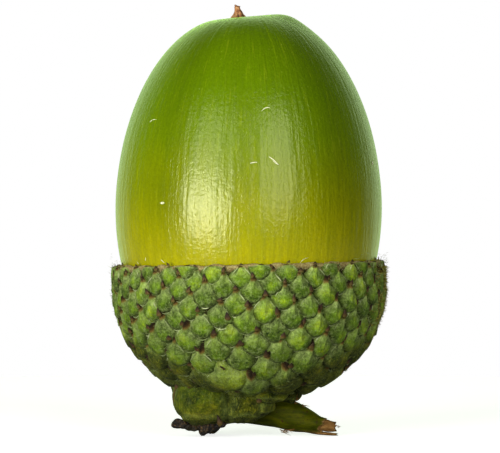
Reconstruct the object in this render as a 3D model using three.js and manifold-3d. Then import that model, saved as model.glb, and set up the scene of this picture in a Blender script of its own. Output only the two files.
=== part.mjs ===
// A fresh green acorn, standing on its stalk: a smooth nut seated in a scaly cup, the dry remains of the flower
// on the nut's tip, the short torn stalk that bore it, and the withered end of that stalk under the cup.
// Millimetres, +Z up. The origin is on the surface it stands on, under the cup's axis.
// The torn end of the stalk points to +X, the withered end to -X, and -Y is the front.

import * as THREE from "three";
import { mergeVertices } from "three/addons/utils/BufferGeometryUtils.js";
import Module from "manifold-3d";

const wasm = await Module();
wasm.setup();

// ---- Driving dimensions ----

const TOUCH_GAP = 0.1; // kept between pieces that rest on each other

const NUT_RADIUS = 9.65;
const NUT_EQUATOR = 16.6; // height of the widest ring
const NUT_TOP = 30.5;
const NUT_BASE = 5.6;

const TIP_X = -0.76; // the flower sat beside the axis, in a shallow dimple
const TIP_RADIUS = 0.56;
const TIP_HEIGHT = 0.86;

const CUP_RADIUS = 9.45; // of the wall under the scales, at the widest
const CUP_EQUATOR = 11.0;
const CUP_RIM = 12.35;
const CUP_BASE = 3.0;
const RIM_THICKNESS = 0.3;
const RIM_TILT = 0.2; // the rim stands this much higher at +X, and lower at -X
const RIM_SHARE = 0.13; // of the wall's outline, above its widest ring

const SCALE_BULGE = 0.55; // how far a scale swells out of the wall
const SCALE_DEPTH = 0.35; // and how far its widest ring is sunk into it
const SCALE_HALF_WIDTH = 0.7; // in pitches
const SCALE_HALF_LENGTH = 0.88;
const SCALE_PITCH_RIM = 1.3; // distance between neighbouring scales
const SCALE_PITCH_BASE = 2.5;

const STALK_RADIUS = 1.45; // where it leaves the cup
const STALK_END_RADIUS = 0.52; // at the torn end
const TORN_END = new THREE.Vector3(6.25, -0.5, 0.42);

const GOLDEN_ANGLE = Math.PI * (3 - Math.sqrt(5));
const WALL_SEGMENTS = 64; // round the cup
const NUT_SEGMENTS = 44;

// ---- Solids and geometries ----

/** The closed solid of a geometry, from its positions alone. */
function solidOf(geometry) {
  const bare = geometry.clone().deleteAttribute("normal").deleteAttribute("uv");
  const merged = mergeVertices(bare, 1e-4);
  return new wasm.Manifold(
    new wasm.Mesh({
      numProp: 3,
      vertProperties: merged.attributes.position.array,
      triVerts: new Uint32Array(merged.index.array),
    }),
  );
}

/** The geometry of a solid, ready for a mesh. */
function geometryOf(solid) {
  const { vertProperties, triVerts } = solid.getMesh();
  const geometry = new THREE.BufferGeometry()
    .setAttribute("position", new THREE.BufferAttribute(new Float32Array(vertProperties), 3))
    .setIndex(new THREE.BufferAttribute(new Uint32Array(triVerts), 1));
  geometry.computeVertexNormals();
  return geometry;
}

/** Moves each vertex of a geometry to where place(point) puts it. */
function reshape(geometry, place) {
  const position = geometry.attributes.position;
  const point = new THREE.Vector3();
  for (let i = 0; i < position.count; i++) {
    place(point.fromBufferAttribute(position, i));
    position.setXYZ(i, point.x, point.y, point.z);
  }
  return geometry;
}

/** A profile of (radius, height) points turned round the Z axis. */
function turned(profile, segments) {
  return new THREE.LatheGeometry(profile, segments).rotateX(Math.PI / 2);
}

/** A rod along a curve, whose radius radiusAt(t) changes from t = 0 to t = 1. */
function rod(curve, radiusAt, sides, steps) {
  const across = new THREE.Vector3();
  const lift = new THREE.Vector3();
  const up = new THREE.Vector3(0, 0, 1);
  return reshape(new THREE.CylinderGeometry(1, 1, 1, sides, steps), (point) => {
    const t = THREE.MathUtils.clamp(point.y + 0.5, 0, 1);
    const tangent = curve.getTangent(t);
    across.crossVectors(up, tangent).normalize();
    lift.crossVectors(tangent, across);
    const rise = point.x * radiusAt(t);
    const side = point.z * radiusAt(t);
    point.copy(curve.getPoint(t)).addScaledVector(lift, rise).addScaledVector(across, side);
  });
}

/** An ellipsoid with the given half-widths, centred on a point. */
function lump(centre, halfWidths, segments = 16) {
  return new THREE.SphereGeometry(1, segments, segments / 2)
    .rotateX(Math.PI / 2)
    .scale(...halfWidths)
    .translate(...centre);
}

/** A bell curve of the given width: 1 at the centre, falling to 0. */
const bell = (distance, width) => Math.exp(-0.5 * (distance / width) ** 2);

// ---- The nut ----

/** The nut's half-outline: (radius, height) at an angle from -90 (base) to 90 degrees (top). */
function eggPoint(angle, clearance) {
  const [tallness, roundness, power] =
    angle > 0
      ? [NUT_TOP + clearance - NUT_EQUATOR, 2.45, 1.8]
      : [NUT_BASE - clearance - NUT_EQUATOR, 3.3, 2];
  const r = (NUT_RADIUS + clearance) * Math.abs(Math.cos(angle)) ** (2 / roundness);
  return new THREE.Vector2(r, NUT_EQUATOR + tallness * Math.abs(Math.sin(angle)) ** (2 / power));
}

/** Makes the top uneven: leaned to +X, swollen at a shoulder on that side and dimpled where the flower sat. */
function makeTopUneven(point) {
  const height = Math.max(0, (point.z - NUT_EQUATOR) / (NUT_TOP - NUT_EQUATOR));
  point.x += 0.15 * height ** 1.5;
  point.z += 0.28 * height ** 4 * bell(Math.hypot(point.x - 3.0, point.y + 0.3), 0.9);
  point.z -= 0.26 * height ** 4 * bell(Math.hypot(point.x + 0.9, point.y), 1.2);
}

/** The nut, grown by a clearance. */
function nutGeometry(clearance = 0) {
  const profile = [];
  for (let i = 0; i <= 26; i++) {
    const angle = Math.PI * (i / 26 - 0.5);
    profile.push(eggPoint(angle, clearance));
  }
  profile[0].x = profile[26].x = 0;
  return reshape(turned(profile, NUT_SEGMENTS), makeTopUneven);
}

// ---- The dry flower remains on the tip ----

/** A ribbed cone with a flared foot, that ends in a short crooked neck. */
function makeFlowerRemains() {
  const outline = [
    [0, 0],
    [1, 0],
    [0.97, 0.12],
    [0.74, 0.3],
    [0.56, 0.5],
    [0.42, 0.72],
    [0.36, 0.88],
    [0.3, 1],
    [0, 1],
  ].map(([r, z]) => new THREE.Vector2(r * TIP_RADIUS, z * TIP_HEIGHT));
  const foot = NUT_TOP - 0.2;
  return reshape(turned(outline, 18), (point) => {
    const share = point.z / TIP_HEIGHT;
    const rib = 1 + 0.08 * Math.cos(6 * Math.atan2(point.y, point.x));
    point.set(point.x * rib, point.y * rib, point.z);
    point.x += TIP_X - 0.12 * share ** 2;
    point.z += foot;
  });
}

// ---- The cup ----

/** The nut's radius at a height below its equator. */
function nutRadiusAt(height) {
  const share = (NUT_EQUATOR - height) / (NUT_EQUATOR - NUT_BASE);
  return NUT_RADIUS * (1 - share ** 2) ** (1 / 3.3);
}

/** How much the tilted rim lifts a point of the cup. */
function rimLift(x, z) {
  return (THREE.MathUtils.smoothstep(z, CUP_EQUATOR - 2, CUP_RIM) * RIM_TILT * x) / CUP_RADIUS;
}

/** The outside of the cup's wall: (radius, height), from share 0 at the bottom to 1 at the rim. */
function wallPoint(share) {
  if (share > 1 - RIM_SHARE) {
    const up = (share - (1 - RIM_SHARE)) / RIM_SHARE;
    const rimRadius = nutRadiusAt(CUP_RIM) + TOUCH_GAP + RIM_THICKNESS;
    const r = THREE.MathUtils.lerp(CUP_RADIUS, rimRadius, up ** 2);
    return new THREE.Vector2(r, THREE.MathUtils.lerp(CUP_EQUATOR, CUP_RIM, up));
  }
  const angle = (Math.PI / 2) * (1 - share / (1 - RIM_SHARE));
  const r = CUP_RADIUS * Math.cos(angle) ** (2 / 2.3);
  return new THREE.Vector2(r, CUP_EQUATOR + (CUP_BASE - CUP_EQUATOR) * Math.sin(angle));
}

/** The solid wall, not hollowed yet. */
function wallSolid() {
  const profile = [];
  for (let i = 0; i <= 16; i++) profile.push(wallPoint(i / 16));
  profile[0].x = 0;
  profile.push(new THREE.Vector2(0, CUP_RIM));
  const wall = turned(profile, WALL_SEGMENTS);
  return solidOf(reshape(wall, (point) => (point.z += rimLift(point.x, point.z))));
}

/** One scale: a faceted dome on a rhombic outline, wider than it looks, as its neighbours overlap it. */
function scaleSolid(frame, pitch, clearance) {
  const dome = new THREE.SphereGeometry(1, 4, 4).rotateX(Math.PI / 2);
  dome.scale(
    SCALE_HALF_WIDTH * pitch + clearance,
    SCALE_HALF_LENGTH * pitch + clearance,
    SCALE_BULGE + SCALE_DEPTH + clearance,
  );
  return solidOf(dome.translate(0, 0, -SCALE_DEPTH).applyMatrix4(frame));
}

/** All scales, spaced by the golden angle from the rim down, and wider apart towards the base. */
function scaleSolids(clearance) {
  const solids = [];
  let share = 0.935;
  for (let i = 0; share > 0.08; i++) {
    const { x: r, y: z } = wallPoint(share);
    const below = wallPoint(share - 0.001);
    const azimuth = -i * GOLDEN_ANGLE;
    const around = new THREE.Vector3(-Math.sin(azimuth), Math.cos(azimuth), 0);
    const away = new THREE.Vector3(Math.cos(azimuth), Math.sin(azimuth), 0);
    const upward = away.clone().multiplyScalar(r - below.x).setZ(z - below.y).normalize();
    const outward = around.clone().cross(upward);
    const centre = away.clone().multiplyScalar(r).setZ(z);
    centre.z += rimLift(centre.x, z);
    const frame = new THREE.Matrix4().makeBasis(around, upward, outward).setPosition(centre);
    const pitch = THREE.MathUtils.lerp(SCALE_PITCH_BASE, SCALE_PITCH_RIM, share);
    solids.push(scaleSolid(frame, pitch, clearance));
    const arcPerShare = Math.hypot(r - below.x, z - below.y) / 0.001;
    share -= (0.866 * pitch ** 2) / (2 * Math.PI * Math.max(r, pitch) * arcPerShare);
  }
  return solids;
}

/** The big scales that swell into the cup's foot: centre and half-widths of each. */
const FOOT_SCALES = [
  { centre: [-2.15, -0.9, 3.0], halfWidths: [2.95, 2.7, 2.25] },
  { centre: [-4.2, 0.2, 3.3], halfWidths: [1.3, 2.0, 1.8] },
  { centre: [-2.2, 1.6, 2.9], halfWidths: [2.6, 2.2, 1.9] },
  { centre: [0.6, -1.9, 3.2], halfWidths: [1.9, 1.6, 1.5] },
  { centre: [0.9, 1.4, 3.0], halfWidths: [2.0, 1.9, 1.4] },
];

/** The cup before it is hollowed, grown outwards by a clearance. */
function cupOutside(clearance = 0) {
  const foot = FOOT_SCALES.map(({ centre, halfWidths }) =>
    solidOf(lump(centre, halfWidths.map((width) => width + clearance))),
  );
  return [...scaleSolids(clearance), ...foot].reduce((sum, solid) => sum.add(solid), wallSolid());
}

/** The whole cup, with the seat of the nut cut into it. */
const cupSolid = () => cupOutside().subtract(solidOf(nutGeometry(TOUCH_GAP)));

// ---- The stalk ----

/** A block that reaches down from the floor, to cut a flat foot. */
const belowFloor = () => solidOf(new THREE.BoxGeometry(60, 60, 20).translate(0, 0, -10));

/** The green stalk: thick under the cup, thinner to the torn end, with a flat torn patch on its underside. */
function stalkSolid() {
  const line = new THREE.CatmullRomCurve3([
    new THREE.Vector3(-1.4, 0.3, 1.95),
    new THREE.Vector3(1.2, 0.1, 1.75),
    new THREE.Vector3(3.9, -0.25, 0.95),
    TORN_END,
  ]);
  const radiusAt = (t) => THREE.MathUtils.lerp(STALK_RADIUS, STALK_END_RADIUS, t ** 1.15);
  return solidOf(rod(line, radiusAt, 18, 16))
    .subtract(cupOutside(TOUCH_GAP))
    .subtract(belowFloor());
}

/** The withered end of the stalk: a crooked twig with three dead flower buds on it. */
function witheredEndSolid() {
  const twig = new THREE.CatmullRomCurve3([
    new THREE.Vector3(-1.9, -0.3, 0.62),
    new THREE.Vector3(-3.1, -0.8, 0.55),
    new THREE.Vector3(-4.2, -1.3, 0.75),
    new THREE.Vector3(-4.9, -1.6, 0.95),
  ]);
  const buds = [
    { centre: [-5.0, -1.6, 0.98], halfWidths: [0.5, 0.42, 0.4] },
    { centre: [-3.2, -2.0, 0.42], halfWidths: [0.52, 0.65, 0.45] },
    { centre: [-3.0, 1.8, 0.46], halfWidths: [0.58, 0.85, 0.49] },
  ];
  let withered = solidOf(rod(twig, () => 0.38, 12, 8));
  withered = withered.add(solidOf(lump([-2.8, -0.1, 0.55], [1.0, 2.0, 0.42])));
  for (const { centre, halfWidths } of buds) {
    withered = withered.add(solidOf(lump(centre, halfWidths, 12)));
  }
  return withered.subtract(cupOutside(TOUCH_GAP)).subtract(belowFloor());
}

// ---- The acorn ----

const nutSkin = new THREE.MeshStandardMaterial({ color: 0x6f8e08, roughness: 0.3, metalness: 0 });
const dryBrown = new THREE.MeshStandardMaterial({ color: 0x8a5a34, roughness: 0.85, metalness: 0 });
const cupGreen = new THREE.MeshStandardMaterial({ color: 0x667a36, roughness: 0.8, metalness: 0 });
const barkGreen = new THREE.MeshStandardMaterial({ color: 0x555c10, roughness: 0.6, metalness: 0 });
const deadBlack = new THREE.MeshStandardMaterial({ color: 0x2a1d12, roughness: 0.7, metalness: 0 });

function piece(name, geometry, material) {
  const mesh = new THREE.Mesh(geometry, material);
  mesh.name = name;
  return mesh;
}

const acorn = new THREE.Group();
acorn.add(
  piece("nut", nutGeometry(), nutSkin),
  piece("flower_remains", makeFlowerRemains(), dryBrown),
  piece("cup", geometryOf(cupSolid()), cupGreen),
  piece("stalk", geometryOf(stalkSolid()), barkGreen),
  piece("withered_end", geometryOf(witheredEndSolid()), deadBlack),
);

export default acorn;
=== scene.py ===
"""A fresh green acorn: a glossy nut in a scaly, downy cup that stands on its torn stalk.

Every piece is a surface worked out with numpy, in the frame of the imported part: +Z up, the torn end of
the stalk towards +X and the front towards -Y. Lengths inside the shape functions are millimetres.
"""

import math

import bpy
import numpy as np
from bpy.props import (
    FloatProperty,
    FloatVectorProperty,
    IntProperty,
    PointerProperty,
)
from bpy.types import Operator, Panel, PropertyGroup
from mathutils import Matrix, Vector


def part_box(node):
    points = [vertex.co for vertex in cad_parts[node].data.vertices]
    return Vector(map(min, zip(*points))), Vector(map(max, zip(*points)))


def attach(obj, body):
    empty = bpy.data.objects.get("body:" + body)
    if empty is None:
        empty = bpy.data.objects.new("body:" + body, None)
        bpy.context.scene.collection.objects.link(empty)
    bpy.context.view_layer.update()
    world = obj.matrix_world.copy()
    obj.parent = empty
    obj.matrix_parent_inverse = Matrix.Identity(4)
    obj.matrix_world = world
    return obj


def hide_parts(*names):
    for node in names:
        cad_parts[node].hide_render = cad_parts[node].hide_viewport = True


bl_info = {
    "name": "Green acorn",
    "version": (1, 0, 0),
    "blender": (4, 5, 0),
    "location": "View3D > Sidebar > Acorn",
    "description": "Builds a fresh green acorn with its scaly cup, torn stalk and withered buds",
    "category": "Add Mesh",
}

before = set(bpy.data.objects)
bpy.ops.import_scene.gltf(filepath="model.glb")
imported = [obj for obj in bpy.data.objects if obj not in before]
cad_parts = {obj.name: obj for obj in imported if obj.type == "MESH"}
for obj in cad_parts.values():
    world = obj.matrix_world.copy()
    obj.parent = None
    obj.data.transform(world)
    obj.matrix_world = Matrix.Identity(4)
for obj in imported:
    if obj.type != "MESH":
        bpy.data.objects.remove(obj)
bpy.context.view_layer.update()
MM = 0.001
SEED = 7


def node_box(node):
    """Lowest and highest corner of a node of the frame, in millimetres."""
    low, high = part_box(node)
    return np.array(low) / MM, np.array(high) / MM


NUT_LOW, NUT_HIGH = node_box("nut")
TIP_LOW, TIP_HIGH = node_box("flower_remains")

NUT_RADIUS = (NUT_HIGH[0] - NUT_LOW[0]) / 2
NUT_BASE = NUT_LOW[2]
NUT_EQUATOR = 16.6
NUT_TOP = 30.5

WALL_RADIUS = 9.45
WALL_EQUATOR = 11.0
WALL_RIM = 12.35
WALL_BASE = 3.0
RIM_SHARE = 0.13
GOLDEN_ANGLE = math.pi * (3 - math.sqrt(5))
SCALE_LEAN = 0.16  # how far a scale leans out towards its lower edge, per length along it

MOSS_THREADS = 5200
RIM_HAIRS = 3400
DOWN_RADIUS, MOSS_RADIUS, RIM_HAIR_RADIUS = 0.012, 0.03, 0.014

LIGHT_TARGET = (0, 0, 0.0168)  # metres, as are the next two
LIGHT_DISTANCE = 0.6
VIEW_CENTRE = (0.00011, 0, 0.01514)
SENSOR_WIDTH = 36  # millimetres


def srgb(red, green, blue):
    """A display colour, 0 to 255, as the linear light that the materials use."""
    values = np.array([red, green, blue]) / 255
    light = np.where(values <= 0.04045, values / 12.92, ((values + 0.055) / 1.055) ** 2.4)
    return tuple(float(v) for v in light)


# ---------------------------------------------------------------- shapes


def bell(distance, width):
    """Bell curve: 1 at distance 0, exp(-(distance / width)^2 / 2) away from it."""
    return np.exp(-0.5 * (distance / width) ** 2)


def unit(vectors):
    """The same vectors, each divided by its length."""
    return vectors / np.maximum(np.linalg.norm(vectors, axis=-1, keepdims=True), 1e-12)


def ripple(points, wavelength, seed):
    """Soft unevenness between about -1 and 1: the mean of nine sine waves in seeded directions."""
    rng = np.random.default_rng(seed)
    waves = unit(rng.normal(size=(9, 3))) * rng.uniform(0.7, 1.5, (9, 1))
    phases = rng.uniform(0, 2 * np.pi, 9)
    return np.sin(points @ waves.T * (2 * np.pi / wavelength) + phases).mean(-1) * 1.8


def nut_skin(turn, height):
    """Point on the nut at an angle round it and a height.

    radius = R (1 - u^1.8)^(1/2.45) above the widest ring and R (1 - d^2)^(1/3.3) below it, with u and d
    the shares of the way to the top and to the base; then the top leans to +X, a shoulder swells there
    and a dimple sinks under the flower's remains, as bell curves.
    """
    up = np.clip((height - NUT_EQUATOR) / (NUT_TOP - NUT_EQUATOR), 0, 1)
    down = np.clip((NUT_EQUATOR - height) / (NUT_EQUATOR - NUT_BASE), 0, 1)
    radius = NUT_RADIUS * (1 - up**1.8) ** (1 / 2.45) * (1 - down**2) ** (1 / 3.3)
    x = radius * np.cos(turn) + 0.15 * up**1.5
    y = radius * np.sin(turn)
    z = height + up**4 * (
        0.28 * bell(np.hypot(x - 3.0, y + 0.3), 0.9) - 0.26 * bell(np.hypot(x + 0.9, y), 1.2)
    )
    return np.stack(np.broadcast_arrays(x, y, z), -1)


def nut_rings(rows, columns):
    """The nut's skin as rings from base to top, closer together towards both ends.

    height = equator + reach * sin(rise)^(2 / p), p = 1.8 above and 2 below, the rise going from -90 to
    90 degrees.
    """
    rise = np.linspace(-np.pi / 2, np.pi / 2, rows + 2)[1:-1, None]
    reach = np.where(rise > 0, NUT_TOP - NUT_EQUATOR, NUT_BASE - NUT_EQUATOR)
    power = np.where(rise > 0, 2 / 1.8, 1.0)
    height = NUT_EQUATOR + reach * np.abs(np.sin(rise)) ** power
    turn = np.linspace(0, 2 * np.pi, columns, endpoint=False)[None, :]
    points = nut_skin(turn, height)
    away = unit(points - [0, 0, NUT_EQUATOR])
    return points + away * (0.035 * ripple(points, 9.0, 3) * (height > 12.6))[..., None]


def rim_lift(x, y, height):
    """The rim leans up to +X and -Y: lift = 0.2 (x - y) / R, which fades in over the upper wall."""
    share = np.clip((height - WALL_EQUATOR + 2) / (WALL_RIM - WALL_EQUATOR + 2), 0, 1)
    return share**2 * (3 - 2 * share) * 0.2 * (x - y) / WALL_RADIUS


def wall_outline(share):
    """Radius and height of the cup's wall, from share 0 under the cup to 1 at the rim.

    Up to 1 - 0.13: r = R cos(a)^(2/2.3), z = equator + (base - equator) sin(a), a falling from 90
    degrees to 0; above that the wall draws in to the nut as a parabola.
    """
    low = np.clip(share / (1 - RIM_SHARE), 0, 1)
    angle = np.pi / 2 * (1 - low)
    radius = WALL_RADIUS * np.abs(np.cos(angle)) ** (2 / 2.3)
    height = WALL_EQUATOR + (WALL_BASE - WALL_EQUATOR) * np.sin(angle)
    up = np.clip((share - 1 + RIM_SHARE) / RIM_SHARE, 0, 1)
    rim = np.linalg.norm(nut_skin(0.0, WALL_RIM)[..., :2]) + 0.4
    return radius + (rim - WALL_RADIUS) * up**2, height + (WALL_RIM - WALL_EQUATOR) * up


def ledge_line(turn):
    """Height of the slanting ledge: 3.5 + 4.1 |sin f|^1.1, f being the angle from the front or back."""
    return 3.5 + 4.1 * np.abs(np.cos(turn)) ** 1.1


def age_and_painted_shade(points):
    """How old and how shaded the scales are, 0 to 1, partly real ageing and partly painted shade: a
    smooth step down across the ledge, where the scales below lie in painted shade, and below height
    8.5 at least a straight rise to a half, darker towards the base."""
    turn = np.arctan2(points[..., 1], points[..., 0])
    share = np.clip((ledge_line(turn) + 0.5 - points[..., 2]) / 1.5, 0, 1)
    return np.maximum(share**2 * (3 - 2 * share), 0.5 * np.clip((8.5 - points[..., 2]) / 7, 0, 1))


def ledge(turn, height):
    """How far the scales stand out (mm) near the slanting ledge round the lower cup.

    The scales above the ledge overhang, as a bell curve that fades upwards, and those below it are
    drawn in by a smooth step; both fade towards the sides as the square of the cosine, but for those
    lowest down. The sides are drawn in by a further 0.12, as a bell curve round height 7.6.
    """
    above = height - ledge_line(turn)
    over = 0.22 * bell(above - 0.6, 1.1)
    under = -0.42 / (1 + np.exp(np.clip((above + 0.45) * 5, -30, 30)))
    side = np.cos(turn) ** 2
    fade = 1 - 0.85 * side * np.clip((height - 3.6) / 1.2, 0, 1)
    return (over + under) * fade - 0.12 * side * bell(height - 7.6, 1.6)


def scale_places():
    """Where the scales sit: turn, share of the outline, pitch and width factor of each.

    The share falls by sqrt(3)/2 pitch^2 / (circumference * arc) from one to the next and the turn by
    the golden angle, so each has the same room for its pitch, which grows from rim to base. A few large
    scales then take the places of those nearest to them.
    """
    size = bpy.context.scene.acorn_cup
    turns, shares, pitches = [], [], []
    share, turn = 1.0, 0.35
    while share > 0.1:
        radius, height = wall_outline(share)
        radius_below, height_below = wall_outline(share - 0.001)
        arc = math.hypot(radius - radius_below, height - height_below) / 0.001
        pitch = size.pitch_base + (size.pitch_rim - size.pitch_base) * share
        turns.append(turn)
        shares.append(share)
        pitches.append(pitch)
        turn -= GOLDEN_ANGLE
        share -= math.sqrt(0.75) * pitch**2 / (2 * math.pi * max(radius, pitch) * arc)
    turns, shares, pitches = np.array(turns), np.array(shares), np.array(pitches)
    rng = np.random.default_rng(SEED)
    turns += rng.normal(0, 0.06, turns.size) * pitches / wall_outline(shares)[0]
    shares += rng.normal(0, 0.004, turns.size) * (shares < 0.9)
    large = np.array([  # turn, share, pitch, width factor
        (-103.5, 0.38, 2.2, 1.4),
        (-121.0, 0.285, 1.9, 1.2),
        (-62.0, 0.3, 2.2, 1.25),
        (-66.0, 0.21, 1.9, 1.12),
        (-22.0, 0.38, 1.9, 1.12),
        (40.0, 0.3, 2.3, 1.25),
        (95.0, 0.32, 2.2, 1.3),
        (150.0, 0.28, 2.3, 1.2),
        (-160.0, 0.3, 2.2, 1.15),
    ])
    large[:, 0] = np.radians(large[:, 0])
    places = np.stack([turns, shares, pitches, np.ones_like(pitches)], -1)

    def spot(rows):
        radius, height = wall_outline(rows[:, 1])
        return np.stack([radius * np.cos(rows[:, 0]), radius * np.sin(rows[:, 0]), height], -1)

    apart = np.linalg.norm(spot(places)[:, None] - spot(large)[None], axis=-1)
    free = (apart > 0.62 * large[:, 2] * large[:, 3] ** 0.5).all(1)
    return np.concatenate([places[free], large]).T


def spokes(turns):
    """Unit vectors (away, around) at each angle: straight out from the axis and level round it."""
    flat = np.zeros_like(turns)
    away = np.stack([np.cos(turns), np.sin(turns), flat], -1)
    around = np.stack([-np.sin(turns), np.cos(turns), flat], -1)
    return away, around


def scale_frames(turns, shares):
    """Centre and (around, upward, outward) unit vectors of each scale on the wall."""
    radius, height = wall_outline(shares)
    radius_below, height_below = wall_outline(shares - 0.001)
    away, around = spokes(turns)
    up = np.array([0.0, 0.0, 1.0])
    upward = unit(away * (radius - radius_below)[:, None] + up * (height - height_below)[:, None])
    outward = np.cross(around, upward)
    centre = away * radius[:, None] + up * height[:, None]
    centre[:, 2] += rim_lift(centre[:, 0], centre[:, 1], height)
    centre += outward * ledge(turns, height)[:, None]
    return centre, around, upward, outward


def scale_dome(rho, angle, swell, wide=1.0):
    """A scale's surface in pitches: (across, along, out) at a share rho of the way to its edge.

    across = 0.74 wide rho cos(a) (1 - 0.42 rho sin(a)^2), a rounded diamond; along = 0.64 rho sin(a)
    plus 0.3 rho^3 towards the point, as a bell curve of the angle, less 0.14 (1 - rho^2), which brings
    the crown down; out = swell (1 - rho^2.3)^0.75, and a ridge to the point rises to 0.95 swell as rho^2.
    """
    point = np.exp(-(((angle - np.pi / 2) / 0.34) ** 2))
    across = 0.74 * wide * rho * np.cos(angle) * (1 - 0.42 * rho * np.sin(angle) ** 2)
    along = 0.64 * rho * np.sin(angle) + 0.3 * rho**3 * point - 0.14 * (1 - rho**2)
    out = swell * ((1 - rho**2.3) ** 0.75 + 0.95 * rho**2 * point)
    return across, along, out


def under_rim(points, give):
    """Presses what stands above the cup's rim down to a share give of its height over it."""
    limit = WALL_RIM + 0.02 + rim_lift(points[..., 0], points[..., 1], WALL_RIM)
    over = np.maximum(points[..., 2] - limit, 0)
    points[..., 2] -= over * (1 - give)
    return points


def room(points, centres, pitches):
    """How much nearer each scale's points are to its own centre than to the next one's, in pitches."""
    between = np.linalg.norm(centres[:, None] - centres[None], axis=-1)
    nearest = np.argsort(between, axis=1)[:, 1:11]
    apart = np.linalg.norm(points[:, :, :, None] - centres[nearest][:, None, None], axis=-1)
    apart = (apart / pitches[nearest][:, None, None]).min(-1)
    own = np.linalg.norm(points - centres[:, None, None], axis=-1) / pitches[:, None, None]
    return apart - own


def on_wall(places, across, along, out):
    """World points from (across, along, out) in each place's frame, sunk with the wall's curve."""
    centre, around, upward, outward = (part[:, None, None, :] for part in places)
    sag = (across**2 + along**2) / (2 * WALL_RADIUS)
    return (
        centre
        + around * across[..., None]
        + upward * along[..., None]
        + outward * (out - sag)[..., None]
    )


def curve_through(points, shares):
    """Points at shares 0 to 1 of the cubic through four points, by Lagrange's formula."""
    points = np.array(points, float)
    knots = np.linspace(0, 1, len(points))
    result = np.zeros((len(shares), points.shape[1]))
    for i, knot in enumerate(knots):
        weight = np.ones(len(shares))
        for j, other in enumerate(knots):
            if j != i:
                weight *= (shares - other) / (knot - other)
        result += weight[:, None] * points[i]
    return result


def rod(path, radii, columns, flatten=1.0):
    """Rings round a path: centre + radius (cos a side + flatten sin a lift).

    The side is level and the lift is at right angles to it and to the path.
    """
    tangent = unit(np.gradient(path, axis=0))
    side = unit(np.cross([0.0, 0.0, 1.0], tangent) + [0, 1e-6, 0])
    lift = np.cross(tangent, side)
    angle = np.linspace(0, 2 * np.pi, columns, endpoint=False)
    ring = (
        side[:, None] * np.cos(angle)[None, :, None]
        + lift[:, None] * (flatten * np.sin(angle))[None, :, None]
    )
    return path[:, None] + ring * np.broadcast_to(np.asarray(radii), (len(path),))[:, None, None]


def ball_rings(centre, half_widths, rows, columns, power=2.0):
    """A rounded block as rings: centre + half widths * (cos r cos a, cos r sin a, sin r), each term to
    the power 2 / p, which is a plain ellipsoid for p = 2."""
    rise = np.linspace(-np.pi / 2, np.pi / 2, rows + 2)[1:-1, None]
    turn = np.linspace(0, 2 * np.pi, columns, endpoint=False)[None, :]
    shape = np.stack(
        np.broadcast_arrays(np.cos(rise) * np.cos(turn), np.cos(rise) * np.sin(turn), np.sin(rise)), -1
    )
    shape = np.sign(shape) * np.abs(shape) ** (2 / power)
    return np.array(centre) + shape * np.array(half_widths)


# ---------------------------------------------------------------- meshes


def ring_mesh(name, rings, starts=None, ends=None, channels=()):
    """A mesh of closed ring surfaces. rings is (count, rows, columns, 3 + channels), in millimetres.

    Each surface is closed by a pole at both ends, the mean of its last ring unless starts or ends gives
    it. Values after the third become float attributes of those names.
    """
    count, rows, columns, width = rings.shape
    starts = rings[:, 0].mean(1) if starts is None else starts
    ends = rings[:, -1].mean(1) if ends is None else ends
    table = np.concatenate(
        [starts[:, None], rings.reshape(count, rows * columns, width), ends[:, None]], axis=1
    )
    here = np.arange(columns)
    following = (here + 1) % columns
    last = rows * columns + 1
    caps = [
        np.stack([0 * here, 1 + following, 1 + here], -1),
        np.stack([0 * here + last, last - columns + here, last - columns + following], -1),
    ]
    row = (1 + columns * np.arange(rows - 1))[:, None]
    quads = np.stack(
        [row + here, row + following, row + columns + following, row + columns + here], -1
    ).reshape(-1, 4)
    triangles = np.concatenate(caps)
    first = table[0, :, :3]
    halves = np.concatenate([triangles, quads[:, :3], quads[:, [0, 2, 3]]])
    corners = first[halves] - first.mean(0)
    volume = np.einsum("ij,ij->i", corners[:, 0], np.cross(corners[:, 1], corners[:, 2])).sum()
    if volume < 0:
        triangles, quads = triangles[:, ::-1], quads[:, ::-1]
    shift = (np.arange(count) * (last + 1))[:, None, None]
    triangles = (triangles[None] + shift).reshape(-1, 3)
    quads = (quads[None] + shift).reshape(-1, 4)
    mesh = bpy.data.meshes.new(name)
    corner_list = np.concatenate([triangles.ravel(), quads.ravel()])
    sizes = np.concatenate([np.full(len(triangles), 3), np.full(len(quads), 4)])
    mesh.vertices.add(table.shape[0] * table.shape[1])
    mesh.vertices.foreach_set("co", (table[..., :3] * MM).ravel())
    mesh.loops.add(len(corner_list))
    mesh.loops.foreach_set("vertex_index", corner_list)
    mesh.polygons.add(len(sizes))
    mesh.polygons.foreach_set("loop_start", np.concatenate([[0], np.cumsum(sizes)[:-1]]))
    mesh.update(calc_edges=True)
    mesh.shade_smooth()
    for index, channel in enumerate(channels):
        values = mesh.attributes.new(channel, "FLOAT", "POINT")
        values.data.foreach_set("value", np.ascontiguousarray(table[..., 3 + index]).ravel())
    mesh.validate()
    piece = bpy.data.objects.new(name, mesh)
    bpy.context.scene.collection.objects.link(piece)
    return piece


def finish_piece(piece, material, slot, *nodes):
    """Gives a piece its material and lets it ride on the part's one body; the slot it is given is not
    used.
    """
    piece.data.materials.append(material)
    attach(piece, "root")
    if nodes:
        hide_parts(*nodes)


def with_channels(points, *values):
    """Points with further values appended on the last axis, each spread over all of them."""
    extra = [np.broadcast_to(value, points.shape[:-1])[..., None] for value in values]
    return np.concatenate([points, *extra], axis=-1)


# ---------------------------------------------------------------- materials


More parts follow.
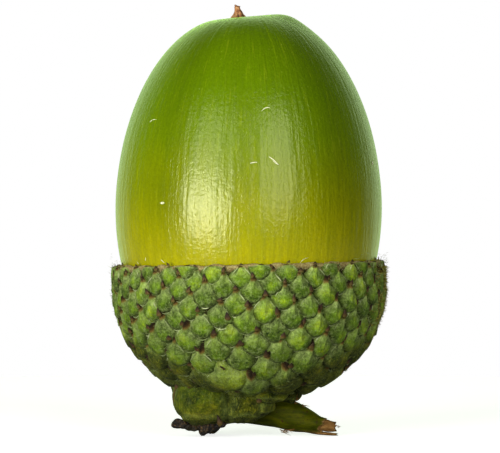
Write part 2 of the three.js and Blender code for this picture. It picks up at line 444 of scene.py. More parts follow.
class Recipe:
    """A material's node tree, with short calls that add nodes and join them."""

    def __init__(self, name):
        self.material = bpy.data.materials.new(name)
        self.material.use_nodes = True
        self.tree = self.material.node_tree
        self.tree.nodes.clear()

    def add(self, kind, inputs, **settings):
        """A node of a kind, its settings set, and its inputs joined or filled."""
        node = self.tree.nodes.new("ShaderNode" + kind)
        for name, value in settings.items():
            setattr(node, name, value)
        for socket, value in inputs.items():
            if isinstance(value, bpy.types.NodeSocket):
                self.tree.links.new(value, node.inputs[socket])
            else:
                node.inputs[socket].default_value = value
        return node

    def place(self, scale=(1, 1, 1)):
        """Object coordinates in millimetres, stretched by a scale."""
        source = self.add("TexCoord", {}).outputs["Object"]
        factor = [s / MM for s in scale]
        return self.add("Mapping", {"Vector": source, "Scale": factor}).outputs[0]

    def noise(self, vector, scale, detail=3.0, roughness=0.55):
        """Noise from 0 to 1, scale features per millimetre."""
        inputs = {"Vector": vector, "Scale": scale, "Detail": detail, "Roughness": roughness}
        return self.add("TexNoise", inputs).outputs[0]

    def attribute(self, name):
        """A float attribute of the mesh."""
        return self.add("Attribute", {}, attribute_name=name).outputs["Fac"]

    def remap(self, value, low, high, to_low=0.0, to_high=1.0):
        """A value's range moved to another, clamped."""
        inputs = {0: value, 1: low, 2: high, 3: to_low, 4: to_high}
        return self.add("MapRange", inputs).outputs[0]

    def math(self, operation, first, second=0.0):
        """One step of arithmetic."""
        return self.add("Math", {0: first, 1: second}, operation=operation).outputs[0]

    def blend(self, share, first, second, kind="MIX"):
        """Two colours mixed by a share."""
        first = (*first, 1) if isinstance(first, tuple) else first
        second = (*second, 1) if isinstance(second, tuple) else second
        inputs = {0: share, 6: first, 7: second}
        return self.add("Mix", inputs, data_type="RGBA", blend_type=kind).outputs[2]

    def ramp(self, value, stops):
        """A colour looked up by value: stops are (position, colour)."""
        node = self.add("ValToRGB", {0: value})
        elements = node.color_ramp.elements
        while len(elements) < len(stops):
            elements.new(0.5)
        for element, (position, colour) in zip(elements, stops):
            element.position = position
            element.color = (*colour, 1)
        return node.outputs[0]

    def bump(self, height, depth, strength=1.0, normal=None):
        """A bump of a depth in millimetres."""
        inputs = {"Height": height, "Distance": depth * MM, "Strength": strength}
        if normal is not None:
            inputs["Normal"] = normal
        return self.add("Bump", inputs).outputs[0]

    def surface(self, colour, roughness, normal=None, **constants):
        """Ends the recipe in a principled surface, its constants named as the sockets in lower case."""
        inputs = {"Base Color": colour, "Roughness": roughness}
        if normal is not None:
            inputs["Normal"] = normal
        for name, value in constants.items():
            inputs[name.replace("_", " ").title().replace("Ior", "IOR")] = value
        shader = self.add("BsdfPrincipled", inputs, subsurface_method="RANDOM_WALK")
        self.add("OutputMaterial", {"Surface": shader.outputs[0]})
        return self.material


def nut_material(look):
    """Waxy nut skin, softly glossy: green at the top, yellow at the cup, streaked up its length, with
    painted shade darkening bands up its sides.
    """
    recipe = Recipe("nut_skin")
    place = recipe.place()
    parts = recipe.add("SeparateXYZ", {0: place}).outputs
    flat = recipe.add("CombineXYZ", {0: parts[0], 1: parts[1]}).outputs[0]
    way = recipe.add("VectorMath", {0: flat}, operation="NORMALIZE").outputs[0]
    long_way = recipe.add("VectorMath", {0: way, 1: (10, 10, 0)}, operation="MULTIPLY").outputs[0]
    slow_height = recipe.math("MULTIPLY", parts[2], 0.1)
    lift = recipe.add("CombineXYZ", {2: slow_height}).outputs[0]
    meridian = recipe.add("VectorMath", {0: long_way, 1: lift}, operation="ADD").outputs[0]
    fine = recipe.noise(meridian, 3.2, 4.0, 0.6)
    broad = recipe.noise(meridian, 0.55, 3.0)
    cloud = recipe.noise(place, 0.22, 3.0)
    shift = recipe.remap(broad, 0.3, 0.7, -0.55, 0.55)
    drift = recipe.remap(cloud, 0.3, 0.7, -0.5, 0.5)
    height = recipe.math("ADD", recipe.math("ADD", parts[2], shift), drift)
    share = recipe.remap(height, 11.0, 31.0)
    skin = recipe.ramp(share, [
        (0.0, srgb(152, 141, 8)),
        (0.1, tuple(look.rim_colour)),
        (0.22, srgb(144, 144, 0)),
        (0.36, srgb(121, 131, 0)),
        (0.53, tuple(look.middle_colour)),
        (0.7, srgb(90, 118, 0)),
        (0.86, srgb(85, 112, 0)),
        (1.0, tuple(look.top_colour)),
    ])
    streaks = recipe.remap(fine, 0.3, 0.72, 0.0, look.streaks)
    skin = recipe.blend(streaks, skin, srgb(66, 92, 0))
    pale = recipe.remap(recipe.noise(meridian, 5.5, 2.0), 0.58, 0.8, 0.0, 0.25)
    skin = recipe.blend(pale, skin, srgb(170, 180, 30))
    speck = recipe.remap(recipe.noise(place, 7.0, 1.0), 0.7, 0.8, 0.0, 0.25)
    skin = recipe.blend(speck, skin, srgb(180, 186, 70))
    # painted shade: dark bands up the sides of the skin, multiplied into its colour
    painted_shade_band = recipe.remap(recipe.attribute("painted_shade_band"), 0.0, 1.0, 1.0, look.painted_shade_band_light)
    skin = recipe.blend(1.0, skin, painted_shade_band, "MULTIPLY")
    mealy = recipe.remap(recipe.noise(place, 5.5, 3.0, 0.7), 0.3, 0.7, 0.88, 1.12)
    skin = recipe.blend(1.0, skin, mealy, "MULTIPLY")
    scar = recipe.remap(parts[2], 6.3, 7.4)
    skin = recipe.blend(scar, srgb(170, 140, 96), skin)
    grain = recipe.noise(place, 3.4, 3.0)
    wrinkle = recipe.noise(meridian, 1.5, 3.0, 0.5)
    normal = recipe.bump(wrinkle, 0.09, 0.6)
    normal = recipe.bump(fine, 0.05, 0.7, normal)
    normal = recipe.bump(grain, 0.045, 0.8, normal)
    roughness = recipe.remap(fine, 0.3, 0.7, look.roughness - 0.04, look.roughness + 0.06)
    return recipe.surface(
        skin, roughness, normal,
        specular_ior_level=0.5, specular_tint=(1, 1, 0.62, 1),
        sheen_weight=0.5, sheen_roughness=0.3, sheen_tint=(0.5, 1.0, 0.1, 1),
    )


def fleck_material():
    """Dry pale cork of a scratch, or a black dot where dark is 1."""
    recipe = Recipe("scar_cork")
    grain = recipe.noise(recipe.place(), 9.0, 3.0)
    cork = recipe.ramp(grain, [(0.3, srgb(188, 190, 120)), (0.7, srgb(236, 236, 206))])
    colour = recipe.blend(recipe.attribute("dark"), cork, srgb(26, 24, 12))
    return recipe.surface(colour, 0.7, recipe.bump(grain, 0.02))


def remains_material():
    """Dead brown flower tissue, tan on its ribs and black in its pits."""
    recipe = Recipe("dry_flower")
    grain = recipe.noise(recipe.place((1, 1, 0.5)), 7.0, 5.0, 0.7)
    tissue = recipe.ramp(grain, [
        (0.3, srgb(74, 44, 22)), (0.5, srgb(152, 98, 52)), (0.72, srgb(206, 166, 112)),
    ])
    colour = recipe.blend(recipe.attribute("pit"), tissue, srgb(30, 18, 8))
    return recipe.surface(colour, 0.8, recipe.bump(grain, 0.06))


def scale_material(look):
    """Green scale under pale down: strong on its swelling, pale at its margin and, as painted light, on
    its upper half; painted shade darkens its creases, and the lower scales are darker, partly with age
    and partly painted shade.
    """
    recipe = Recipe("scale_skin")
    place = recipe.place()
    mottle = recipe.noise(place, 0.9, 4.0, 0.6)
    fuzz = recipe.noise(place, 6.5, 4.0, 0.7)
    fibres = recipe.noise(recipe.place((1, 1, 0.35)), 11.0, 2.0)
    tone = recipe.math("ADD", recipe.attribute("tone"), recipe.remap(mottle, 0.3, 0.7, -0.4, 0.4))
    green = recipe.ramp(tone, [
        (0.0, srgb(24, 42, 2)), (0.35, srgb(58, 84, 4)),
        (0.65, tuple(look.scale_colour)), (1.0, srgb(142, 164, 12)),
    ])
    down = recipe.remap(fuzz, 0.42, 0.68, 0.0, look.down_cover)
    green = recipe.blend(down, green, tuple(look.down_colour))
    speck = recipe.remap(fibres, 0.62, 0.75, 0.0, 0.4)
    green = recipe.blend(speck, green, srgb(76, 66, 20))
    frayed = recipe.remap(fuzz, 0.32, 0.6, 0.3, 1.0)
    # the margin is the scale's pale margin and, on its upper half, a painted light
    margin = recipe.math("MULTIPLY", recipe.attribute("margin"), frayed)
    green = recipe.blend(margin, green, srgb(168, 184, 110))
    # the lower, older scales: partly their own aged colour, partly painted shade under the ledge and
    # towards the base
    old = recipe.ramp(mottle, [
        (0.25, srgb(12, 18, 0)), (0.42, srgb(28, 38, 0)),
        (0.58, srgb(70, 74, 0)), (0.75, srgb(118, 108, 4)),
    ])
    old = recipe.blend(recipe.remap(fuzz, 0.45, 0.75, 0.0, 0.5), old, srgb(60, 48, 18))
    old = recipe.blend(recipe.remap(fibres, 0.52, 0.68, 0.0, 0.65), old, srgb(132, 130, 34))
    old = recipe.blend(recipe.remap(fuzz, 0.3, 0.45, 0.75, 0.0), old, srgb(14, 16, 0))
    old = recipe.blend(recipe.math("MULTIPLY", margin, 0.6), old, srgb(130, 148, 66))
    green = recipe.blend(recipe.math("MULTIPLY", recipe.attribute("low"), 0.94), green, old)
    # painted shade: darkens the creases between scales
    dark = recipe.math("MULTIPLY", recipe.attribute("painted_crease_shade"), 0.85)
    green = recipe.blend(dark, green, srgb(36, 42, 4))
    worn = recipe.noise(place, 2.0, 6.0, 0.78)
    green = recipe.blend(1.0, green, recipe.remap(worn, 0.36, 0.64, 0.56, 1.66), "MULTIPLY")
    silver = recipe.remap(recipe.noise(place, 3.0, 4.0, 0.7), 0.52, 0.7, 0.0, 0.5)
    silver = recipe.math("MULTIPLY", silver, recipe.remap(recipe.attribute("low"), 0.0, 0.9, 1.0, 0.12))
    green = recipe.blend(silver, green, srgb(172, 192, 116))
    dry = recipe.ramp(recipe.attribute("tip"), [
        (0.15, srgb(126, 130, 56)), (0.35, srgb(112, 92, 40)),
        (0.55, srgb(66, 46, 18)), (0.8, srgb(34, 22, 8)),
    ])
    dried = recipe.remap(recipe.attribute("tip"), 0.12, 0.35)
    green = recipe.blend(dried, green, dry)
    normal = recipe.bump(fuzz, 0.2, 0.9)
    normal = recipe.bump(fibres, 0.08, 0.8, normal)
    return recipe.surface(
        green, 0.75, normal,
        sheen_weight=0.06, sheen_roughness=0.4, sheen_tint=(0.8, 1.0, 0.4, 1), specular_ior_level=0.12,
    )


def wall_material():
    """The cup's wall between its scales, dark olive, and its pale felted rim."""
    recipe = Recipe("cup_felt")
    place = recipe.place()
    fuzz = recipe.noise(place, 7.0, 4.0, 0.7)
    dark = recipe.ramp(fuzz, [(0.3, srgb(22, 22, 2)), (0.7, srgb(58, 58, 12))])
    felt = recipe.ramp(fuzz, [
        (0.3, srgb(108, 84, 40)), (0.5, srgb(150, 134, 80)), (0.7, srgb(184, 176, 124)),
    ])
    colour = recipe.blend(recipe.attribute("felt"), dark, felt)
    return recipe.surface(colour, 0.85, recipe.bump(fuzz, 0.1), specular_ior_level=0.2)


def point_material():
    """A scale's dry point: green at its foot, tan, then dark brown."""
    recipe = Recipe("scale_point")
    grain = recipe.noise(recipe.place(), 8.0, 3.0)
    along = recipe.math("ADD", recipe.attribute("along"), recipe.remap(grain, 0.3, 0.7, -0.12, 0.12))
    colour = recipe.ramp(along, [
        (0.0, srgb(98, 88, 34)), (0.25, srgb(84, 62, 24)), (0.5, srgb(54, 36, 13)),
        (1.0, srgb(28, 16, 5)),
    ])
    return recipe.surface(colour, 0.7, recipe.bump(grain, 0.04), specular_ior_level=0.3)


def hair_material(name, *colours):
    """Fine down: each hair its own tone along a ramp of colours."""
    recipe = Recipe(name)
    stops = [(index / (len(colours) - 1), colour) for index, colour in enumerate(colours)]
    return recipe.surface(recipe.ramp(recipe.attribute("tone"), stops), 0.7, specular_ior_level=0.2)


def bark_material(look):
    """Green stalk bark: olive and smooth above, torn to brown fibre where torn is 1."""
    recipe = Recipe("stalk_bark")
    place = recipe.place((0.35, 1, 1))
    grain = recipe.noise(place, 2.0, 5.0, 0.65)
    fine = recipe.noise(place, 9.0, 3.0)
    bark = recipe.ramp(grain, [
        (0.25, srgb(22, 25, 0)), (0.48, tuple(look.bark_colour)), (0.75, srgb(84, 84, 0)),
    ])
    specks = recipe.remap(recipe.noise(recipe.place(), 6.0, 1.0), 0.66, 0.72)
    bark = recipe.blend(specks, bark, srgb(54, 36, 16))
    torn = recipe.ramp(fine, [
        (0.3, srgb(52, 36, 18)), (0.5, srgb(116, 84, 44)), (0.72, srgb(176, 142, 92)),
    ])
    colour = recipe.blend(recipe.attribute("torn"), bark, torn)
    normal = recipe.bump(grain, 0.12, 0.8)
    normal = recipe.bump(fine, 0.05, 0.8, normal)
    return recipe.surface(colour, 0.5, normal, specular_ior_level=0.06)


def wood_material(look):
    """Torn wood: brown and tan fibres along the stalk."""
    recipe = Recipe("torn_wood")
    fibre = recipe.noise(recipe.place((0.25, 1.2, 1.2)), 8.0, 4.0, 0.7)
    colour = recipe.ramp(fibre, [
        (0.28, srgb(56, 34, 12)), (0.5, tuple(look.wood_colour)), (0.72, srgb(170, 132, 72)),
    ])
    return recipe.surface(colour, 0.75, recipe.bump(fibre, 0.1), specular_ior_level=0.2)


def withered_material():
    """Withered bud: nearly black, brown on its ridges, partly its own brown and partly a painted
    highlight, with a dull sheen.
    """
    recipe = Recipe("withered_bud")
    place = recipe.place()
    wrinkle = recipe.noise(place, 3.2, 5.0, 0.7)
    # tan on the ridges: partly the bud's own brown, partly a painted highlight
    colour = recipe.ramp(wrinkle, [
        (0.36, srgb(6, 5, 2)), (0.52, srgb(32, 23, 10)), (0.68, srgb(118, 92, 54)),
    ])
    colour = recipe.blend(recipe.attribute("green"), colour, srgb(64, 58, 14))
    return recipe.surface(colour, 0.38, recipe.bump(wrinkle, 0.25), specular_ior_level=0.4)


# ---------------------------------------------------------------- settings


def colour_property(name, description, default):
    """A colour that the panel shows."""
    return FloatVectorProperty(
        name=name, description=description, default=default, subtype="COLOR", min=0, max=1
    )


class AcornNutSettings(PropertyGroup):
    top_colour: colour_property("Top", "Skin colour at the top of the nut", srgb(78, 104, 0))
    middle_colour: colour_property("Middle", "Skin colour half way up the nut", srgb(101, 124, 0))
    rim_colour: colour_property("Rim", "Skin colour where the nut meets the cup", srgb(164, 157, 0))
    streaks: FloatProperty(
        name="Streaks", description="How strongly dark streaks run up the skin", default=0.3,
        min=0, max=1, subtype="FACTOR",
    )
    painted_shade_band_light: FloatProperty(
        name="Band light", description="Share of the skin's light that is left in its dark bands",
        default=0.74, min=0.3, max=1, subtype="FACTOR",
    )
    roughness: FloatProperty(
        name="Roughness", description="Roughness of the waxy skin", default=0.2,
        min=0.05, max=1, subtype="FACTOR",
    )


class AcornCupSettings(PropertyGroup):
    pitch_rim: FloatProperty(
        name="Pitch at rim", description="Distance between scales at the rim, in millimetres",
        default=1.3, min=0.8, max=3,
    )
    pitch_base: FloatProperty(
        name="Pitch at base", description="Distance between scales under the cup, in millimetres",
        default=2.5, min=1, max=5,
    )
    swell: FloatProperty(
        name="Swell", description="How far a scale stands out, as a share of its pitch",
        default=0.37, min=0.1, max=0.6, subtype="FACTOR",
    )
    hairs: IntProperty(
        name="Hairs", description="Number of down hairs on the scales", default=15000, min=0
    )
    hair_length: FloatProperty(
        name="Hair length", description="Length of a down hair, in millimetres",
        default=0.3, min=0.05, max=1,
    )
    scale_colour: colour_property("Scale", "Colour of a scale's swelling", srgb(92, 122, 4))
    down_colour: colour_property(
        "Down", "Colour of the short down that covers the scales", srgb(118, 144, 50)
    )
    down_cover: FloatProperty(
        name="Down cover", description="Share of a scale hidden by short down", default=0.6,
        min=0, max=1, subtype="FACTOR",
    )


class AcornStalkSettings(PropertyGroup):
    bark_colour: colour_property("Bark", "Colour of the green bark", srgb(54, 60, 0))
    wood_colour: colour_property("Wood", "Colour of the torn wood", srgb(124, 88, 40))


class AcornStageSettings(PropertyGroup):
    distance: FloatProperty(
        name="Distance", description="From the camera to the acorn",
        default=0.35, min=0.1, unit="LENGTH",
    )
    height_angle: FloatProperty(
        name="Height angle", description="How far the camera looks down",
        default=math.radians(1.5), subtype="ANGLE", unit="ROTATION",
    )
    width: FloatProperty(
        name="Width", description="Width that the camera takes in at the acorn",
        default=0.03623, unit="LENGTH",
    )
    key_power: FloatProperty(
        name="Key", description="Power of the softbox at the left", default=4.8, unit="POWER"
    )
    fill_power: FloatProperty(
        name="Fill", description="Power of the softbox at the right", default=1.9, unit="POWER"
    )


SETTINGS = {
    "acorn_nut": AcornNutSettings,
    "acorn_cup": AcornCupSettings,
    "acorn_stalk": AcornStalkSettings,
    "acorn_stage": AcornStageSettings,
}


# ---------------------------------------------------------------- pieces


class ACORN_OT_nut(Operator):
    """Make the smooth nut and the flecks on its skin"""

    bl_idname = "acorn.nut"
    bl_label = "Nut"

    def execute(self, context):
        look = context.scene.acorn_nut
        rings = nut_rings(118, 144)
        rings = with_channels(rings, self.painted_shade_bands(rings))[None]
        nut = ring_mesh("nut_body", rings, channels=("painted_shade_band",))
        finish_piece(nut, nut_material(look), "nut_skin", "nut")
        flecks = ring_mesh("nut_flecks", self.flecks(), channels=("dark",))
        finish_piece(flecks, fleck_material(), "nut_skin")
        return {"FINISHED"}

    def painted_shade_bands(self, points):
        """Painted shade: darker bands up the skin, 0 to 1, as bell curves of the angle round the nut."""
        turn = np.degrees(np.arctan2(points[..., 1], points[..., 0]))
        shade = 0
        for middle, width, depth in (
            (-128, 9, 0.9), (-46, 11, 1.0), (-96, 5, 0.25), (15, 10, 0.8),
            (70, 12, 0.7), (118, 8, 0.9), (163, 9, 0.6),
        ):
            apart = (turn - middle + 180) % 360 - 180
            shade = np.maximum(shade, depth * bell(apart, width))
        return shade * np.clip((points[..., 2] - 12) / 5, 0, 1)

    def flecks(self):
        """Flat blisters on the skin: half length * s along, half width * sqrt(1 - s^2) cos(a) across,
        0.024 sqrt(1 - s^2) sin(a) out, turned by a tilt and bent by bend * s^2."""
        marks = [  # turn, height, length, width, tilt, bend, dark
            (-81.9, 23.75, 0.8, 0.07, 1.3, 0.14, 0),
            (-87.9, 19.9, 0.55, 0.07, 1.45, 0.03, 0),
            (-79.0, 20.05, 0.95, 0.08, 2.27, 0.04, 0),
            (-78.2, 19.85, 0.5, 0.05, 2.1, -0.04, 0),
            (-129.3, 17.0, 0.35, 0.17, 1.5, 0.0, 0),
            (-18.2, 19.75, 0.3, 0.12, 0.2, 0.0, 0),
            (-149.0, 12.75, 0.5, 0.06, -0.5, 0.05, 0),
            (-142.0, 12.95, 0.3, 0.06, 0.4, 0.0, 0),
            (-131.0, 12.85, 0.35, 0.05, -0.9, 0.0, 0),
            (-12.2, 12.93, 0.2, 0.14, 0.0, 0.0, 1),
            (-16.4, 12.62, 0.16, 0.12, 0.0, 0.0, 1),
            (-142.5, 22.9, 0.9, 0.03, 1.35, 0.1, 0),
            (-66.0, 12.95, 1.1, 0.02, 0.8, 0.25, 0),
            (28.0, 21.4, 0.7, 0.08, 0.9, 0.1, 0),
            (66.0, 17.2, 0.4, 0.1, 0.1, 0.0, 0),
            (112.0, 24.2, 0.5, 0.07, -0.6, 0.08, 0),
            (158.0, 19.1, 0.35, 0.13, 1.2, 0.0, 0),
            (90.0, 14.6, 0.2, 0.12, 0.0, 0.0, 1),
        ]
        turn, height, length, width, tilt, bend, dark = np.array(marks, float).T[:, :, None, None]
        along = np.sin(np.linspace(-np.pi / 2, np.pi / 2, 11)[1:-1])[None, :, None]
        angle = np.linspace(0, 2 * np.pi, 8, endpoint=False)[None, None, :]
        girth = np.sqrt(1 - along**2)
        u = length / 2 * along + 0 * angle
        v = width / 2 * girth * np.cos(angle) + bend * along**2
        out = 0.024 * girth * np.sin(angle)
        rise = u * np.cos(tilt) - v * np.sin(tilt)
        across = u * np.sin(tilt) + v * np.cos(tilt)
        turn = np.radians(turn) + across / NUT_RADIUS
        points = nut_skin(turn, height + rise)
        normal = unit(points - np.array([0, 0, 15.0]) + 0 * points)
        return with_channels(points + normal * out[..., None], dark)


class ACORN_OT_flower_remains(Operator):
    """Make the dry remains of the flower on the nut's tip"""

    bl_idname = "acorn.flower_remains"
    bl_label = "Flower remains"

    def execute(self, context):
        material = remains_material()
        foot = ring_mesh("flower_foot", self.pad(), channels=("pit",))
        finish_piece(foot, material, "dry_flower", "flower_remains")
        styles = ring_mesh("flower_styles", self.styles(), channels=("pit",))
        finish_piece(styles, material, "dry_flower")
        return {"FINISHED"}

    def pad(self):
        """A ribbed cone: r = R (0.4 + 0.6 (1 - s)^2.2).

        Six lobes fade upwards as (1 - s)^1.5, with pits between them, and the lower edge is drawn in.
        """
        share = np.linspace(0, 1, 22)[:, None]
        turn = np.linspace(0, 2 * np.pi, 48, endpoint=False)[None, :]
        centre = (TIP_LOW + TIP_HIGH) / 2
        full = (TIP_HIGH[1] - TIP_LOW[1]) / 2
        tall = TIP_HIGH[2] - TIP_LOW[2] - 0.12
        lobes = np.cos(6 * turn + 0.4)
        radius = full * (0.4 + 0.6 * (1 - share) ** 2.2) * (1 + 0.2 * lobes * (1 - share) ** 1.5)
        radius = radius * np.where(share < 0.06, 0.86 + 2.3 * share, 1)
        pit = np.clip(-lobes, 0, 1) ** 1.5 * bell(share - 0.16, 0.13)
        radius = radius - 0.12 * pit
        x = centre[0] + 0.06 - 0.12 * share**2 + radius * np.cos(turn)
        y = centre[1] + radius * np.sin(turn)
        z = TIP_LOW[2] - 0.05 + (tall + 0.05) * share + 0 * turn
        points = np.stack([x, y, z], -1)
        points += 0.02 * ripple(points, 0.5, 5)[..., None]
        return with_channels(points, np.clip(pit * 1.2, 0, 1))[None]

    def styles(self):
        """Three short stubs that lean apart from the cone's end, each a bent tapered rod."""
        top = np.array([(TIP_LOW[0] + TIP_HIGH[0]) / 2 - 0.06, 0.0, TIP_HIGH[2] - 0.16])
        stubs = []
        for turn, reach, tall in ((3.3, 0.12, 0.2), (-0.2, 0.16, 0.1), (1.7, 0.12, 0.14)):
            way = np.array([math.cos(turn), math.sin(turn), 0])
            path = curve_through(
                [
                    top + way * 0.05 - [0, 0, 0.08],
                    top + way * reach * 0.7 + [0, 0, tall * 0.3],
                    top + way * reach + [0, 0, tall * 0.7],
                    top + way * reach * 1.1 + [0, 0, tall],
                ],
                np.linspace(0, 1, 7),
            )
            stubs.append(rod(path, 0.11 - 0.05 * np.linspace(0, 1, 7), 8))
        return with_channels(np.array(stubs), 0.25)


class ACORN_OT_cup(Operator):
    """Make the cup: its wall, its scales with their points, its foot and its down"""

    bl_idname = "acorn.cup"
    bl_label = "Cup"

    def execute(self, context):
        look = context.scene.acorn_cup
        wall = ring_mesh("cup_wall", self.wall(), channels=("felt",))
        finish_piece(wall, wall_material(), "cup_scales", "cup")
        turns, shares, pitches, wides = scale_places()
        places = scale_frames(turns, shares)
        skin = scale_material(look)
        names = ("margin", "painted_crease_shade", "tone", "low", "tip")
        rings, crowns = self.scales(places, pitches, wides, look.swell)
        scales = ring_mesh("cup_scales", rings, starts=crowns, channels=names)
        finish_piece(scales, skin, "cup_scales")
        low_enough = shares < 0.965
        pointed = tuple(part[low_enough] for part in places)
        cones = self.points(pointed, pitches[low_enough], look.swell)
        cones = np.concatenate([cones, self.foot_points()])
        points = ring_mesh("scale_points", cones, channels=("along",))
        finish_piece(points, point_material(), "cup_scales")
        hem = ring_mesh("scale_hems", self.hems(places, pitches, wides, look.swell), channels=("tone",))
        edging = hair_material("hem_down", srgb(108, 126, 62), srgb(188, 198, 142))
        finish_piece(hem, edging, "cup_scales")
        foot = ring_mesh("foot_scales", self.foot(), channels=names)
        finish_piece(foot, skin, "cup_scales")
        pale = hair_material("down_hair", srgb(88, 106, 34), srgb(166, 178, 108))
        hairs = ring_mesh("cup_down", *self.down(places, pitches, look), channels=("tone",))
        finish_piece(hairs, pale, "cup_scales")
        moss = hair_material("moss_threads", srgb(92, 74, 22), srgb(146, 142, 44), srgb(190, 184, 100))
        tuft = ring_mesh("moss_tuft", *self.moss(), channels=("tone",))
        finish_piece(tuft, moss, "cup_scales")
        tan = hair_material("rim_hair", srgb(116, 70, 24), srgb(150, 122, 64), srgb(206, 196, 142))
        fringe = ring_mesh("rim_fringe", *self.fringe(), channels=("tone",))
        finish_piece(fringe, tan, "cup_scales")
        return {"FINISHED"}

    def wall(self):
        """A turned wall: its outline, a rounded lip, then the nut's outline 0.06 outside its skin."""
        share = np.linspace(0.02, 1, 56)
        radius, height = wall_outline(share)
        lip = np.linspace(0, np.pi, 7)[1:-1]
        inner_top = np.linalg.norm(nut_skin(0.0, WALL_RIM)[:2]) + 0.06
        middle, half = (radius[-1] + inner_top) / 2, (radius[-1] - inner_top) / 2
        seat_height = WALL_RIM - (WALL_RIM - NUT_BASE + 0.08) * np.linspace(0, 0.999, 30) ** 0.8
        seat = nut_skin(0.0, np.maximum(seat_height, NUT_BASE + 0.01))
        seat_radius = seat[:, 0] + 0.06
        all_radius = np.concatenate([radius, middle + half * np.cos(lip), seat_radius])
        all_height = np.concatenate([height, WALL_RIM + half * np.sin(lip), seat_height])
        felt = np.clip((all_height - 12.0) / 0.3, 0, 1)
        felt[len(radius):] = np.maximum(felt[len(radius):], 0.6)
        turn = np.linspace(0, 2 * np.pi, 160, endpoint=False)[None, :]
        wave = 0.05 * np.sin(27 * turn) + 0.04 * np.sin(41 * turn + 1)
        near_rim = np.clip((all_height[:, None] - 11.8) / 0.6, 0, 1)
        x = all_radius[:, None] * np.cos(turn)
        y = all_radius[:, None] * np.sin(turn)
        z = all_height[:, None] + rim_lift(x, y, all_height[:, None]) + wave * near_rim
        return with_channels(np.stack([x, y, z], -1), felt[:, None])[None]

    def scales(self, places, pitches, wides, swell):
        """Every scale as rings of scale_dome from its crown to its edge, then a skirt into the wall.

        Its margin and its crease shade are bell curves and steps of how near the next scale is, and its
        dry tip is a bell curve round its point. The crease shade is painted shade, and the margin also
        takes a painted light on the scale's upper half.
        """
        rng = np.random.default_rng(SEED + 1)
        count = len(pitches)
        rho = np.array([0.42, 0.72, 0.93, 1.02])[None, :, None]
        side = np.array([0.2, 0.45, 0.85, 1.4, 2.05, 2.7])
        angle = np.pi / 2 + np.concatenate([[0.0], side, -side[::-1]])[None, None, :]
        size = (pitches * rng.uniform(0.95, 1.08, count))[:, None, None]
        wide = wides[:, None, None]
        near_rim = np.clip((places[0][:, 2] - 11.2) / 0.9, 0, 1)
        puff = (swell * (1 - 0.5 * near_rim) * rng.uniform(0.85, 1.15, count))[:, None, None]
        across, along, out = scale_dome(np.minimum(rho, 1), angle, puff, wide)
        spin = rng.normal(0, 0.1, count)[:, None, None]
        across, along = (
            across * np.cos(spin) - along * np.sin(spin),
            across * np.sin(spin) + along * np.cos(spin),
        )
        lean = rng.normal(SCALE_LEAN, 0.05, count)[:, None, None]
        out = (out - lean * along) * size - (rho > 1.01) * 0.55
        points = on_wall(places, across * size, along * size, out)
        outward = places[3][:, None, None, :]
        uneven = 0.05 * ripple(points, 1.0, 11) + 0.03 * ripple(points, 0.45, 12)
        points = points + outward * uneven[..., None]
        points = under_rim(points, 0.15)
        gap = room(points, places[0], pitches * wides**0.5)
        from_point = np.abs(angle - np.pi / 2)
        shoulder = bell(from_point - 0.62, 0.26) * np.clip((rho - 0.5) / 0.3, 0, 1)
        towards = np.clip(np.sin(angle), 0, 1)
        # painted light: the upper half of each scale made paler, as if lit from above
        painted_top_light = 0.38 * towards * np.clip((rho - 0.15) / 0.6, 0, 1)
        margin = np.maximum(np.maximum(bell(gap - 0.06, 0.05) * (0.25 + 0.6 * towards), shoulder), painted_top_light)
        hem = np.clip(-np.sin(angle) + 0.35, 0, 1) * np.clip((rho - 0.6) / 0.3, 0, 1)
        hem = hem * np.where(wide > 1.1, 0.95, 0.5)
        margin = np.maximum(margin, hem)
        tip = bell(from_point, 0.22) * np.clip((rho - 0.68) / 0.24, 0, 1)
        tip = tip * np.where(wide > 1.1, 0.2, 1.0)
        # painted shade in the creases between scales, weaker on their upper halves
        painted_crease_shade = np.clip(1 - (gap + 0.02) / 0.2, 0, 1) ** 1.5 * (1 - 0.8 * tip) * (1 - 0.75 * towards)
        tone = rng.uniform(0.24, 0.62, count)[:, None, None] + 0.55 * np.clip(gap - 0.2, 0, 0.6)
        tone = tone + 0.6 * (wide > 1.35)
        # the fourth channel, low, is age and painted shade of the lower scales
        rings = with_channels(points, margin, painted_crease_shade, tone, age_and_painted_shade(points), tip)
        _, crown_along, crown_out = scale_dome(np.zeros(1), np.zeros(1), puff)
        centre = on_wall(places, 0 * size, crown_along * size, (crown_out - lean * crown_along) * size)
        bright = tone.max(axis=(1, 2), keepdims=True)
        crowns = with_channels(under_rim(centre, 0.15), 0, 0, bright, age_and_painted_shade(centre), 0)
        return rings, crowns[:, 0, 0]

